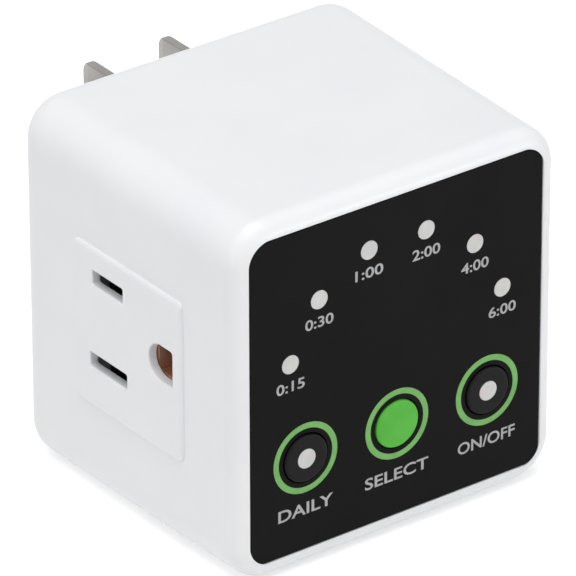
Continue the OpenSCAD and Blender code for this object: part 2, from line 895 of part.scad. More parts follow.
// One resistor beside each light on the arc.
module chip_resistors() {
    resistor_l = 2;
    resistor_w = 1.25;
    resistor_t = 0.6;
    resistor_inset = 4.5;
    inner_r = led_arc_r - resistor_inset;
    color("black") for (i = [0:led_count - 1]) {
        turn = 90 + led_spread * (i / (led_count - 1) - 0.5);
        translate([inner_r * cos(turn), 0, inner_r * sin(turn)])
            along_y(board_y - resistor_t, board_y) square([resistor_l, resistor_w], center = true);
    }
}

module controller_chip() {
    chip_l = 10;
    chip_w = 3.9;
    chip_t = 1.4;
    chip_z = 9;
    leg_count = 8;
    leg_pitch = 1.27;
    leg_l = 1.2;
    leg_w = 0.4;
    leg_h = 0.8;
    standoff = 0.1;
    color("black") translate([0, 0, chip_z]) {
        along_y(board_rear_y + standoff, board_rear_y + standoff + chip_t)
            square([chip_l, chip_w], center = true);
        for (i = [0:leg_count - 1], side = [-1, 1]) {
            translate([(i - (leg_count - 1) / 2) * leg_pitch, 0, side * (chip_w / 2 + leg_l / 2 - standoff)])
                along_y(board_rear_y, board_rear_y + leg_h) square([leg_w, leg_l], center = true);
        }
    }
}

module crystal() {
    crystal_z = 17.2;
    can_l = 10.2;
    can_w = 3.7;
    can_h = 3.4;
    color("silver") translate([0, 0, crystal_z])
        along_y(board_rear_y, board_rear_y + can_h) round_rect(can_l, can_w, can_w / 2 - 0.05);
}

// ---- outlets, drawn for the left side ----

// A block of the given width and height whose outer face runs sunk below the outlet's face.
module face_block(w, h, sunk, inner_x) {
    y0 = outlet_y - w / 2;
    y1 = outlet_y + w / 2;
    translate([0, 0, -h / 2]) linear_extrude(h) polygon([
        [face_x(y0) + sunk, y0],
        [inner_x, y0],
        [inner_x, y1],
        [face_x(y1) + sunk, y1]
    ]);
}

// The raised face, which lies on the side wall round its window.
module outlet_head() {
    y0 = outlet_y - outlet_w / 2;
    y1 = outlet_y + outlet_w / 2;
    translate([0, 0, -outlet_h / 2]) linear_extrude(outlet_h) polygon([
        [face_x(y0) + outlet_edge, y0],
        [-half_at(y0), y0],
        [-half_at(y1), y1],
        [face_x(y1) + outlet_edge, y1],
        [face_x(y1 - outlet_edge), y1 - outlet_edge],
        [face_x(y0 + outlet_edge), y0 + outlet_edge]
    ]);
}

module outlet_face() {
    hollow_w = outlet_body_w - 2 * outlet_wall_t;
    hollow_h = outlet_body_h - 2 * outlet_wall_t;
    color("white") difference() {
        union() {
            face_block(outlet_body_w, outlet_body_h, 0, flange_x);
            outlet_head();
        }
        face_block(hollow_w, hollow_h, outlet_plate_t, flange_x + 1);
        along_x(-front_w, 0) {
            translate([slot_y, live_z]) square([live_slot_l, slot_h], center = true);
            translate([slot_y, neutral_z]) square([neutral_slot_l, slot_h], center = true);
            translate([earth_y, outlet_rise]) earth_hole_outline();
        }
    }
}

// The earth hole: flat towards the front, round towards the slots.
module earth_hole_outline() {
    hole_r = earth_hole_w / 2;
    round_y = earth_flat - earth_pin_r + slide_gap;
    translate([round_y, 0]) circle(hole_r);
    translate([-earth_flat, -hole_r]) square([earth_flat + round_y, earth_hole_w]);
}

// The plastic block that holds the contacts behind an outlet face.
module contact_block() {
    pocket_half = leaf_gap / 2 + contact_t + leaf_flare + slide_gap;
    live_half = live_slot_l / 2 + part_gap;
    neutral_half = neutral_slot_l / 2 + part_gap;
    earth_half = earth_leaf_gap / 2 + contact_t + slide_gap;
    tail_half = leaf_gap / 2 + contact_t + snug_gap;
    tail_x = web_x - snug_gap;
    color([0.1, 0.09, 0.09]) difference() {
        union() {
            span([flange_x, block_front_y, -block_half_h], [block_end_x, block_rear_y, block_half_h]);
            for (z = [-1, 1]) {
                along_x(ear_screw_x, ear_screw_x + ear_t) translate([outlet_y, z * ear_z]) circle(ear_r);
                along_x(ear_screw_x, ear_screw_x + ear_t) translate([outlet_y, z * ear_z / 2])
                    square([2 * ear_r, ear_z], center = true);
            }
        }
        span(
            [flange_x - 1, slot_y - live_half, live_z - pocket_half],
            [block_end_x + 1, slot_y + live_half, live_z + pocket_half]
        );
        span(
            [flange_x - 1, slot_y - neutral_half, neutral_z - pocket_half],
            [block_end_x + 1, slot_y + neutral_half, neutral_z + pocket_half]
        );
        for (z = [live_z, neutral_z]) {
            span([tail_x, slot_y, z - tail_half], [block_end_x + 1, block_rear_y + 1, z + tail_half]);
        }
        span(
            [flange_x - 1, earth_y - earth_flat - slide_gap, outlet_rise - earth_half],
            [block_end_x + 1, earth_y + earth_flat + contact_t + slide_gap, outlet_rise + earth_half]
        );
        for (z = [-ear_z, ear_z]) {
            translate([0, outlet_y, z]) along_x(ear_screw_x - 1, ear_screw_x + ear_t + 1)
                circle(screw_r + screw_gap);
        }
    }
}

// Two leaves that grip a blade, joined at their inner end, with a tail to a bus strip.
module blade_contact(z, half_l, tail_y) {
    mouth_x = flange_x + leaf_flare;
    throat_x = mouth_x + 1.6;
    inner = leaf_gap / 2;
    outer = inner + contact_t;
    translate([0, 0, z]) {
        translate([0, slot_y + half_l, 0]) rotate([90, 0, 0]) linear_extrude(2 * half_l) polygon([
            [mouth_x, inner + leaf_flare],
            [throat_x, inner],
            [web_x, inner],
            [web_x, -inner],
            [throat_x, -inner],
            [mouth_x, -inner - leaf_flare],
            [mouth_x, -outer - leaf_flare],
            [throat_x, -outer],
            [web_x + contact_t, -outer],
            [web_x + contact_t, outer],
            [throat_x, outer],
            [mouth_x, outer + leaf_flare]
        ]);
        span([web_x, slot_y, -outer], [web_x + contact_t, tail_y, outer]);
    }
}

module live_contact() {
    color("goldenrod")
        blade_contact(live_z, live_slot_l / 2 - slide_gap, strip_layer[1] - strip_t);
}

module neutral_contact() {
    color("goldenrod")
        blade_contact(neutral_z, neutral_slot_l / 2 - 2 * slide_gap, strip_layer[2] - strip_t);
}

// A channel that grips the earth pin from above and below, with its web towards the slots.
module earth_contact() {
    inner = earth_leaf_gap / 2;
    outer = inner + contact_t;
    web_y = earth_y + earth_flat;
    mouth_x = face_x(earth_y) + outlet_plate_t + 2 * slide_gap;
    tail_x = block_end_x + 3.5;
    color("peru") translate([0, 0, outlet_rise]) {
        span([mouth_x, web_y, -outer], [tail_x, web_y + contact_t, outer]);
        for (z = [inner, -outer]) {
            span(
                [mouth_x, earth_y - earth_flat + slide_gap, z],
                [web_x, web_y + joint_lap, z + contact_t]
            );
        }
    }
}

module contact_block_screw_pair() {
    for (z = [-ear_z, ear_z]) {
        translate([ear_screw_x + ear_t, outlet_y, z]) rotate([0, -90, 0]) screw(ear_t + ear_screw_bite);
    }
}

module contact_block_screws() {
    color("silver") {
        contact_block_screw_pair();
        opposite() contact_block_screw_pair();
    }
}

// ---- bus strips ----

// Extends a strip's outline through the given layer behind the blade clamp.
module strip(layer) {
    along_y(strip_layer[layer] - strip_t, strip_layer[layer]) children();
}

// A flat bar between two corners given in X and Z.
module bar(low, high) {
    translate(low) square(high - low);
}

// The tab of a strip that goes down through the power board.
module foot(x) {
    bar([x - 1, foot_z], [x + 1, deck_z]);
}

module live_feed_strip() {
    color("goldenrod") strip(0) {
        bar(
            [live_blade_x - half_strip, blade_rise - half_strip],
            [feed_x + half_strip, blade_rise + half_strip]
        );
        bar([feed_x - half_strip, deck_z], [feed_x + half_strip, blade_rise]);
        foot(feed_x);
    }
}

module live_bus() {
    bus_x = -block_end_x + half_strip + 0.7;
    color("goldenrod") strip(1) {
        bar([web_x, live_z - half_strip], [bus_x + half_strip, live_z + half_strip]);
        bar([bus_x - half_strip, deck_z], [bus_x + half_strip, live_z]);
        bar([-web_x - contact_t, -live_z - half_strip], [bus_x, -live_z + half_strip]);
        foot(bus_x);
    }
}

module neutral_bus() {
    drop_x = web_x - half_strip - 1.2;
    branch_low = relay_top_z + 0.2;
    color("goldenrod") strip(2) {
        bar(
            [neutral_blade_x - half_strip, branch_low],
            [neutral_blade_x + half_strip, blade_rise + half_strip]
        );
        bar([drop_x, branch_low], [neutral_blade_x, branch_low + strip_w]);
        bar([neutral_blade_x, -neutral_z - half_strip], [-web_x, -neutral_z + half_strip]);
        bar([drop_x - half_strip, deck_z], [drop_x + half_strip, branch_low + strip_w]);
        foot(drop_x);
    }
}

module earth_bus() {
    cross_y = earth_y + earth_flat + contact_t;
    tab_half_w = 2.5;
    color("peru") {
        span(
            [block_end_x + part_gap, cross_y, -half_strip],
            [-block_end_x - part_gap, cross_y + strip_t, half_strip]
        );
        span(
            [plug_shift - half_strip, cross_y + strip_t - joint_lap, -strip_t / 2],
            [plug_shift + half_strip, strip_layer[0], strip_t / 2]
        );
        strip(0) bar(
            [plug_shift - tab_half_w, -strip_t / 2],
            [plug_shift + tab_half_w, earth_pin_z + tab_half_w]
        );
    }
}

// ---- power board ----

// A wire that goes down through the board from height z.
module wire_down(at, z) {
    translate([at[0], at[1], foot_z]) cylinder(r = lead_r, h = z - foot_z);
}

module power_board() {
    color("darkgreen") difference() {
        span(
            [-power_board_w / 2, power_front_y, power_board_z],
            [power_board_w / 2, power_rear_y, deck_z]
        );
        for (p = power_screw_at) {
            translate([p[0], p[1], foot_z]) cylinder(r = screw_r + screw_gap, h = board_t + 2);
        }
        for (p = wire_at) {
            translate([p[0], p[1], foot_z]) cylinder(r = lead_r + snug_gap, h = board_t + 2);
        }
        header_pins();
        live_feed_strip();
        live_bus();
        neutral_bus();
        for (side = [0, 1]) {
            mirror([side, 0, 0]) span(
                [cover_screw_x - column_r - part_gap, column_front_y - part_gap, -cavity_half],
                [front_w / 2, 0, -cover_screw_x + column_r]
            );
        }
    }
}

module power_board_screws() {
    color("silver") for (p = power_screw_at) {
        translate([p[0], p[1], deck_z]) rotate([180, 0, 0]) screw(board_t + power_screw_bite);
    }
}

module film_capacitor() {
    color("khaki") {
        translate([film_at[0] - film_w / 2, film_at[1] - film_l / 2, deck_z])
            cube([film_w, film_l, component_h]);
        for (p = pair_y(film_at, film_reach)) {
            wire_down(p, deck_z + joint_lap);
        }
    }
}

module filter_capacitor() {
    color("midnightblue") {
        translate([filter_at[0], filter_at[1], deck_z]) cylinder(r = filter_r, h = component_h);
        for (p = pair_y(filter_at, filter_reach)) {
            wire_down(p, deck_z + joint_lap);
        }
    }
}

module varistor() {
    disc_z = deck_z + varistor_r + 0.8;
    color("royalblue") {
        translate([varistor_at[0], varistor_at[1], disc_z])
            along_x(-varistor_t / 2, varistor_t / 2) circle(varistor_r);
        for (p = pair_y(varistor_at, varistor_reach)) {
            wire_down(p, disc_z - varistor_r / 2);
        }
    }
}

// A round body lying along Y with a bent wire at each end.
module axial_part(at, body_r, body_l, reach) {
    axis_z = deck_z + body_r + 0.2;
    translate([at[0], at[1], axis_z]) {
        along_y(-body_l / 2, body_l / 2) circle(body_r);
        along_y(-reach, reach) circle(lead_r - 0.05);
    }
    for (p = pair_y(at, reach)) {
        wire_down(p, axis_z + lead_r);
    }
}

module fuse() {
    color("saddlebrown") axial_part(fuse_at, fuse_r, fuse_l, fuse_reach);
}

module rectifier_diodes() {
    color("black") for (x = diode_x) {
        axial_part([x, small_part_y], diode_r, diode_l, diode_reach);
    }
}

module driver_transistor() {
    case_z = deck_z + 2.5;
    flat_y = transistor_r / 2;
    color("black") {
        translate([transistor_at[0], transistor_at[1], case_z]) intersection() {
            cylinder(r = transistor_r, h = transistor_h);
            translate([-transistor_r, -transistor_r, 0])
                cube([2 * transistor_r, transistor_r + flat_y, transistor_h]);
        }
        for (p = transistor_wire_at) {
            wire_down(p, case_z + joint_lap);
        }
    }
}

// ---- relay ----

module relay_base() {
    inset = relay_wall + snug_gap;
    color("black") {
        span(
            [-relay_half_w + inset, relay_front_y + inset, deck_z],
            [relay_half_w - inset, relay_rear_y - inset, deck_z + relay_base_t]
        );
        for (p = relay_pin_at) {
            wire_down(p, deck_z + joint_lap);
        }
    }
}

module relay_cover() {
    color([0.15, 0.3, 0.6]) difference() {
        span([-relay_half_w, relay_front_y, deck_z], [relay_half_w, relay_rear_y, relay_top_z]);
        span(
            [-relay_half_w + relay_wall, relay_front_y + relay_wall, deck_z - 1],
            [relay_half_w - relay_wall, relay_rear_y - relay_wall, relay_top_z - relay_wall]
        );
    }
}

// Winding between two flanges, with the iron core through the middle.
module relay_coil() {
    flange_r = winding_r + 0.3;
    flange_t = 0.7;
    color("sienna") translate([0, core_y, 0]) {
        translate([0, 0, coil_floor_z]) cylinder(r = flange_r, h = flange_t);
        translate([0, 0, coil_floor_z]) cylinder(r = winding_r, h = bobbin_top_z - coil_floor_z);
        translate([0, 0, bobbin_top_z - flange_t]) cylinder(r = flange_r, h = flange_t);
        translate([0, 0, coil_floor_z]) cylinder(r = core_r, h = core_top_z - coil_floor_z);
    }
}

// The iron bracket under and behind the coil; the armature rests on its upper edge.
module relay_yoke() {
    color("gray") {
        span(
            [-yoke_half_w, core_y - core_r - 0.8, deck_z + relay_base_t],
            [yoke_half_w, hinge_y + yoke_t, coil_floor_z]
        );
        span([-yoke_half_w, hinge_y, deck_z + relay_base_t], [yoke_half_w, hinge_y + yoke_t, armature_z]);
    }
}

// The moving plate, with the moving contact under its front end.
module relay_armature() {
    armature_half_w = yoke_half_w - 0.8;
    stud_r = 0.7;
    color("lightgray") {
        span(
            [-armature_half_w, contact_y - stud_r + 0.2, armature_z],
            [armature_half_w, hinge_y + yoke_t, armature_z + armature_t]
        );
        translate([0, contact_y + 0.25, armature_z - stud_h])
            cylinder(r = stud_r, h = stud_h + joint_lap);
    }
}

// The fixed contact that the armature closes onto.
module relay_contact() {
    spring_half_w = 2;
    spring_t = 0.5;
    drop = (contact_setback + spring_t) * sin(armature_swing);
    top_z = armature_z - stud_h - drop - snug_gap;
    spring_y = relay_front_y + relay_wall + 3 * snug_gap;
    color("goldenrod") span(
        [-spring_half_w, spring_y, deck_z + relay_base_t],
        [spring_half_w, spring_y + spring_t, top_z]
    );
}

// ---- assembly ----

housing();
rear_cover();
front_panel();
light_guide();
outlet_face();  // outlet_face_left
opposite() outlet_face();  // outlet_face_right
contact_block();  // contact_block_left
opposite() contact_block();  // contact_block_right
live_contact();  // live_contact_left
opposite() live_contact();  // live_contact_right
neutral_contact();  // neutral_contact_left
opposite() neutral_contact();  // neutral_contact_right
earth_contact();  // earth_contact_left
opposite() earth_contact();  // earth_contact_right
contact_block_screws();
live_blade();
neutral_blade();
earth_pin();
blade_clamp();
cover_screws();
live_feed_strip();
live_bus();
neutral_bus();
earth_bus();
repeat_button();
repeat_lens();
select_button();
power_button();
power_lens();
repeat_plunger();
select_plunger();
power_plunger();
switch_bodies();
control_board();
control_board_screws();
indicator_chips();
chip_resistors();
controller_chip();
crystal();
header_base();
header_pins();
power_board();
power_board_screws();
relay_base();
relay_coil();
relay_yoke();
relay_armature();
relay_contact();
relay_cover();
film_capacitor();
filter_capacitor();
varistor();
fuse();
rectifier_diodes();
driver_transistor();
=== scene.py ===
import math

import bmesh
import bpy
from mathutils import Matrix, Quaternion, Vector


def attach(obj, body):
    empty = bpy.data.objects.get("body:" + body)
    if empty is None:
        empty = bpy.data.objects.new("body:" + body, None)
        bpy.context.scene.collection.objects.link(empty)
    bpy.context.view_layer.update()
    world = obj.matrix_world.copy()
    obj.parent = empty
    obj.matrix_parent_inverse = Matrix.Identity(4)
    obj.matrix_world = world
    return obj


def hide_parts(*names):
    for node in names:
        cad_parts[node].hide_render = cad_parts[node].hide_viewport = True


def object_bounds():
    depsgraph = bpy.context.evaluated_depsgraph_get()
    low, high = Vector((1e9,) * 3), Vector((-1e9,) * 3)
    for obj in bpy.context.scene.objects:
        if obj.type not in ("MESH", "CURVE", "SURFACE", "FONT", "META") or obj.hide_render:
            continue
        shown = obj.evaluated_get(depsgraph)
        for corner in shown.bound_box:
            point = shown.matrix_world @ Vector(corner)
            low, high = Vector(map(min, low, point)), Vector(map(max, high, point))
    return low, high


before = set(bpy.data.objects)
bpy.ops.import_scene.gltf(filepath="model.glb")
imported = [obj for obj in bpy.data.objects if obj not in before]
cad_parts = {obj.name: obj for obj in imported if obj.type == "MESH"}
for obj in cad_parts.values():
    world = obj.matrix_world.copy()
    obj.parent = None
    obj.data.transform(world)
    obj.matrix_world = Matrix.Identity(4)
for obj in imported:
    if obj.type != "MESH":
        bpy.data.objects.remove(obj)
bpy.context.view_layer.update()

MM = 0.001


# ---------------------------------------------------------------- housing
# The cube is one injection moulding in white ABS, open towards the wall. Its sides lean out by
# three quarters of a millimetre so that it leaves the mould, and every outer edge is rounded.
# A square seat for the panel is sunk into its front, and each side has an opening for an outlet.

def linear(code):
    """A colour written as sRGB hex, such as "eceef0", as linear RGBA."""
    channels = [int(code[i:i + 2], 16) / 255 for i in (0, 2, 4)]
    return [c / 12.92 if c <= 0.04045 else ((c + 0.055) / 1.055) ** 2.4 for c in channels] + [1.0]


def add(material, kind, settings=None, links=None):
    """Adds a node: settings fill its properties and sockets, links bring in other nodes' outputs."""
    tree = material.node_tree
    node = tree.nodes.new("ShaderNode" + kind)
    for key, value in (settings or {}).items():
        if isinstance(key, str) and hasattr(node, key):
            setattr(node, key, value)
        else:
            node.inputs[key].default_value = value
    for key, output in (links or {}).items():
        tree.links.new(output, node.inputs[key])
    return node


def surface(name, **settings):
    """A material with one shader joined to its output, and the object's own coordinates at hand."""
    material = bpy.data.materials.new(name)
    material.use_nodes = True
    material.node_tree.nodes.clear()
    sockets = {key.replace("_", " "): value for key, value in settings.items()}
    shader = add(material, "BsdfPrincipled", sockets)
    add(material, "OutputMaterial", links={"Surface": shader.outputs[0]})
    place = add(material, "TexCoord").outputs["Object"]
    return material, shader, place


def roughen(material, shader, place, size, depth, low, high):
    """Grain of a size and depth in millimetres, with the roughness wandering from low to high."""
    grain = add(material, "TexNoise", {"Scale": 1 / (size * MM), "Detail": 3.0}, {"Vector": place})
    patches = add(material, "TexNoise", {"Scale": 1 / (9 * MM), "Detail": 2.0}, {"Vector": place})
    grain_and_shine(material, shader, grain, depth, patches, low, high)


def grain_and_shine(material, shader, grain, depth, patches, low, high):
    """Joins the grain to the normal, and the patches to a roughness between low and high."""
    relief = add(material, "Bump", {"Strength": 1.0, "Distance": depth * MM},
                 {"Height": grain.outputs["Fac"]})
    shine = add(material, "MapRange", {"From Min": 0.3, "From Max": 0.7, "To Min": low, "To Max": high},
                {"Value": patches.outputs["Fac"]})
    material.node_tree.links.new(relief.outputs["Normal"], shader.inputs["Normal"])
    material.node_tree.links.new(shine.outputs["Result"], shader.inputs["Roughness"])


def tint(material, shader, place, size, first, second):
    """Lets the colour drift between two near shades in patches of the given size in millimetres."""
    patches = add(material, "TexNoise", {"Scale": 1 / (size * MM), "Detail": 2.0}, {"Vector": place})
    shades = add(material, "ValToRGB", links={"Fac": patches.outputs["Fac"]})
    shades.color_ramp.elements[0].position = 0.35
    shades.color_ramp.elements[0].color = linear(first)
    shades.color_ramp.elements[1].position = 0.65
    shades.color_ramp.elements[1].color = linear(second)
    material.node_tree.links.new(shades.outputs["Color"], shader.inputs["Base Color"])


# White ABS from a spark-eroded mould: satin, with a grain too fine to see that softens every
# highlight. The grain is drawn at 0.35 mm, coarser than the real one, so that it shows at all.
def moulded_abs(name):
    material, shader, place = surface(name, IOR=1.53)
    tint(material, shader, place, 14, "eceef1", "eff0f2")
    roughen(material, shader, place, 0.35, 0.004, 0.32, 0.4)
    return material


def skin(rows, closed=False, skip=()):
    """A mesh through rows of points of equal count. Its ends get a face each, or it closes on itself."""
    bm = bmesh.new()
    verts = [[bm.verts.new(point) for point in row] for row in rows]
    count = len(rows[0])
    last = len(rows) if closed else len(rows) - 1
    for i in range(last):
        near, far = verts[i], verts[(i + 1) % len(rows)]
        for j in range(count):
            if (i, j) not in skip:
                k = (j + 1) % count
                bm.faces.new((near[j], near[k], far[k], far[j]))
    if not closed:
        bm.faces.new(verts[0])
        bm.faces.new(reversed(verts[-1]))
    return bm, verts


def to_mesh(bm, name):
    """Ends the editing of a mesh: all faces look outwards, and only true corners stay sharp."""
    true_corner = math.radians(32)
    bmesh.ops.recalc_face_normals(bm, faces=bm.faces)
    for edge in bm.edges:
        edge.smooth = len(edge.link_faces) == 2 and edge.calc_face_angle() < true_corner
    for face in bm.faces:
        face.smooth = True
    mesh = bpy.data.meshes.new(name)
    bm.to_mesh(mesh)
    bm.free()
    return mesh


def cut(mesh, cutters):
    """The mesh less each of the closed meshes in cutters."""
    name = mesh.name
    for cutter in cutters:
        body = bpy.data.objects.new("body", mesh)
        tool = bpy.data.objects.new("tool", cutter)
        for thing in (body, tool):
            bpy.context.scene.collection.objects.link(thing)
        step = body.modifiers.new("cut", "BOOLEAN")
        step.solver = "EXACT"
        step.operation = "DIFFERENCE"
        step.object = tool
        scene_now = bpy.context.evaluated_depsgraph_get()
        result = bpy.data.meshes.new_from_object(body.evaluated_get(scene_now))
        bpy.data.objects.remove(body)
        bpy.data.objects.remove(tool)
        bpy.data.meshes.remove(mesh)
        mesh = result
    bm = bmesh.new()
    bm.from_mesh(mesh)
    bmesh.ops.remove_doubles(bm, verts=bm.verts, dist=0.002 * MM)
    bpy.data.meshes.remove(mesh)
    return to_mesh(bm, name)


def place_piece(name, mesh, body, slot, material, *nodes):
    """Puts a finished mesh on its body, in the place of the CAD nodes that it stands for."""
    piece = bpy.data.objects.new(name, mesh)
    bpy.context.scene.collection.objects.link(piece)
    mesh.materials.clear()
    mesh.materials.append(material)
    flats = piece.modifiers.new("flats", "WEIGHTED_NORMAL")
    flats.keep_sharp = True
    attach(piece, body)
    if nodes:
        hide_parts(*nodes)
    return piece


# The cube in millimetres. Depths are negative towards the front, from the wall at zero.
FRONT = -48.5
FRONT_HALF = 26.75
SIDE_TAPER = 0.75
LONG_EDGE = 6.0
FRONT_EDGE = 2.6
REAR_EDGE = 4.0
CAVITY_HALF = 24.4
CAVITY_CORNER = 3.6
SEAT_HALF = 24.2
SEAT_CORNER = 2.6
SEAT_FLOOR = -47.2
SEAT_BREAK = 0.3
LIP_DEPTH = 0.09
LIP_WIDTH = 0.05
LIP_CORNER = 0.2
BEAD_START = 0.15
INNER_FRONT = -45.2
OUTLET_MID = -25.45
WINDOW_HALF_W = 11.4
WINDOW_HALF_H = 11.45
CORNER_STEPS = 14
EDGE_STEPS = 12
ROUND_STEPS = 64
PAST = 1.0  # how far a cutting tool reaches past the wall that it cuts


def quarter(steps):
    """Sine and cosine at even steps through a right angle, its two ends among them."""
    turns = [math.pi / 2 * i / steps for i in range(steps + 1)]
    return [(math.sin(turn), math.cos(turn)) for turn in turns]


def half_at(y):
    """Half the width of the cube at depth y."""
    return FRONT_HALF + SIDE_TAPER * (y - FRONT) / -FRONT


def square_ring(y, half, corner):
    """A rounded square across the cube, with two points on each side at the height of the outlets."""
    flat = half - corner
    side = [(half, -WINDOW_HALF_H), (half, WINDOW_HALF_H)]
    side += [(flat + corner * c, flat + corner * s) for s, c in quarter(CORNER_STEPS)]
    points = []
    for _ in range(4):
        points += [Vector((x, y, z)) * MM for x, z in side]
        side = [(-z, x) for x, z in side]
    return points


def round_bar(centre, axis, radius, start, end, mouth=0.0):
    """A closed round bar along an axis, from start to end, that can widen at its start by a bevel."""
    across = [i for i in range(3) if i != axis]
    stations = [(start, radius), (end, radius)]
    if mouth:
        wide = radius + mouth
        stations[:1] = [(start, wide), (start + mouth, wide), (start + 2 * mouth, radius)]
    rows = []
    for at, r in stations:
        row = []
        for i in range(ROUND_STEPS):
            turn = 2 * math.pi * i / ROUND_STEPS
            point = [0.0, 0.0, 0.0]
            point[axis] = at
            point[across[0]] = centre[0] + r * math.cos(turn)
            point[across[1]] = centre[1] + r * math.sin(turn)
            row.append(Vector(point) * MM)
        rows.append(row)
    return to_mesh(skin(rows)[0], "bar")


def shell_rows():
    """Depth, half width and corner of each ring, from the seat's floor over the outside to the inside."""
    rows = [(SEAT_FLOOR, SEAT_HALF, SEAT_CORNER), (FRONT + SEAT_BREAK, SEAT_HALF, SEAT_CORNER),
            (FRONT + LIP_DEPTH, SEAT_HALF + LIP_WIDTH, SEAT_CORNER + LIP_CORNER)]
    bead_y = FRONT + FRONT_EDGE
    bead_half = half_at(bead_y) - FRONT_EDGE
    first = math.asin((SEAT_HALF + BEAD_START - bead_half) / FRONT_EDGE)
    for i in range(EDGE_STEPS + 1):
        turn = first + (math.pi / 2 - first) * i / EDGE_STEPS
        drop = FRONT_EDGE * (1 - math.sin(turn))
        rows.append((bead_y - FRONT_EDGE * math.cos(turn), bead_half + FRONT_EDGE - drop, LONG_EDGE - drop))
    for y in (OUTLET_MID - WINDOW_HALF_W, OUTLET_MID + WINDOW_HALF_W):
        rows.append((y, half_at(y), LONG_EDGE))
    edge_half = half_at(-REAR_EDGE) - REAR_EDGE
    last = math.acos((CAVITY_HALF - edge_half) / REAR_EDGE)
    for i in range(EDGE_STEPS + 1):
        turn = last * i / EDGE_STEPS
        drop = REAR_EDGE * (1 - math.cos(turn))
        rows.append((REAR_EDGE * (math.sin(turn) - 1), edge_half + REAR_EDGE - drop, LONG_EDGE - drop))
    rim_y = rows[-1][0]
    for y in (rim_y, OUTLET_MID + WINDOW_HALF_W, OUTLET_MID - WINDOW_HALF_W, INNER_FRONT):
        rows.append((y, CAVITY_HALF, CAVITY_CORNER))
    return rows


def housing_shell():
    """The shell through its rings, with the windows of the outlets left open and lined."""
    rows = shell_rows()
    outer = EDGE_STEPS + 4
    inner = len(rows) - 3
    left = 2 * (CORNER_STEPS + 3)
    skip = {(row, column) for row in (outer, inner) for column in (0, left)}
    bm, verts = skin([square_ring(*row) for row in rows], skip=skip)
    for column in (0, left):
        low, high = column, column + 1
        front_out, rear_out = verts[outer], verts[outer + 1]
        rear_in, front_in = verts[inner], verts[inner + 1]
        for a, b in ((front_out[low], rear_out[low]), (rear_out[low], rear_out[high]),
                     (rear_out[high], front_out[high]), (front_out[high], front_out[low])):
            partner = {front_out[low]: front_in[low], rear_out[low]: rear_in[low],
                       rear_out[high]: rear_in[high], front_out[high]: front_in[high]}
            bm.faces.new((a, b, partner[b], partner[a]))
    return to_mesh(bm, "housing_shell")


WINDOW_ARC = 18.2
WINDOW_R = 1.36
WINDOW_GAP = 0.05
WINDOW_TURNS = [165, 135, 105, 75, 45, 15]
BUTTON_X = [-15.15, 0.0, 15.15]
BUTTON_Z = -10.2
BUTTON_HOLE_R = 3.65
window_at = [(WINDOW_ARC * math.cos(math.radians(t)), WINDOW_ARC * math.sin(math.radians(t)))
             for t in WINDOW_TURNS]

wall_holes = [round_bar(at, 1, WINDOW_R + WINDOW_GAP, SEAT_FLOOR - PAST, INNER_FRONT + PAST)
              for at in window_at]
wall_holes += [round_bar((x, BUTTON_Z), 1, BUTTON_HOLE_R, SEAT_FLOOR - PAST, INNER_FRONT + PAST)
               for x in BUTTON_X]
white_abs = moulded_abs("moulded_white_abs")
place_piece("housing_shell", cut(housing_shell(), wall_holes), "timer", "white_shell", white_abs, "housing")


# ---------------------------------------------------------------- wall cover
# A flat plate of the same white ABS closes the cube on the wall side. The blades and the earth pin
# stand in it, and a sunk screw in each corner holds it to the housing.

COVER_HALF = 24.3
COVER_CORNER = 3.5
COVER_INNER = -2.5
COVER_EDGE = 0.3
PLUG_X = 1.4
BLADE_Z = 16.4
BLADE_APART = 12.7
BLADE_HOLE_HALF_T = 0.8
BLADE_HOLE_HALF_W = 3.225
EARTH_Z = 4.5
PIN_HOLE_R = 2.65
SCREW_AT = 20.6
SCREW_HOLE_R = 1.1
HEAD_HOLE_R = 2.2
HEAD_FLOOR = -1.3
blade_x = [PLUG_X - BLADE_APART / 2, PLUG_X + BLADE_APART / 2]


def box_mesh(low, high):
    """A closed box between two opposite corners."""
    rows = []
    for z in (low[2], high[2]):
        rows.append([Vector((x, y, z)) * MM for x, y in
                     ((low[0], low[1]), (high[0], low[1]), (high[0], high[1]), (low[0], high[1]))])
    return to_mesh(skin(rows)[0], "box")


def wall_cover():
    """The plate with a rounded rim, and the holes for the pin, the blades and the sunk screws."""
    rows = [(COVER_INNER, COVER_HALF, COVER_CORNER)]
    rows += [(COVER_EDGE * (s - 1), COVER_HALF - COVER_EDGE * (1 - c), COVER_CORNER) for s, c in quarter(4)]
    mesh = to_mesh(skin([square_ring(*row) for row in rows])[0], "wall_cover")
    inside = COVER_INNER - PAST
    holes = [round_bar((PLUG_X, EARTH_Z), 1, PIN_HOLE_R, inside, PAST)]
    for x in blade_x:
        holes.append(box_mesh((x - BLADE_HOLE_HALF_T, inside, BLADE_Z - BLADE_HOLE_HALF_W),
                              (x + BLADE_HOLE_HALF_T, PAST, BLADE_Z + BLADE_HOLE_HALF_W)))
    for x in (-SCREW_AT, SCREW_AT):
        for z in (-SCREW_AT, SCREW_AT):
            holes.append(round_bar((x, z), 1, SCREW_HOLE_R, inside, PAST))
            holes.append(round_bar((x, z), 1, HEAD_HOLE_R, HEAD_FLOOR, PAST))
    return cut(mesh, holes)


place_piece("wall_cover", wall_cover(), "timer", "white_shell", white_abs, "rear_cover")


# ---------------------------------------------------------------- outlet faces
# Each outlet's face is its own moulding in white ABS, pressed into a window in the side until its
# raised head lies on the wall, with its edge rounded down to the wall. The slots and the D-shaped
# earth hole open with a soft bevel that guides a plug in.

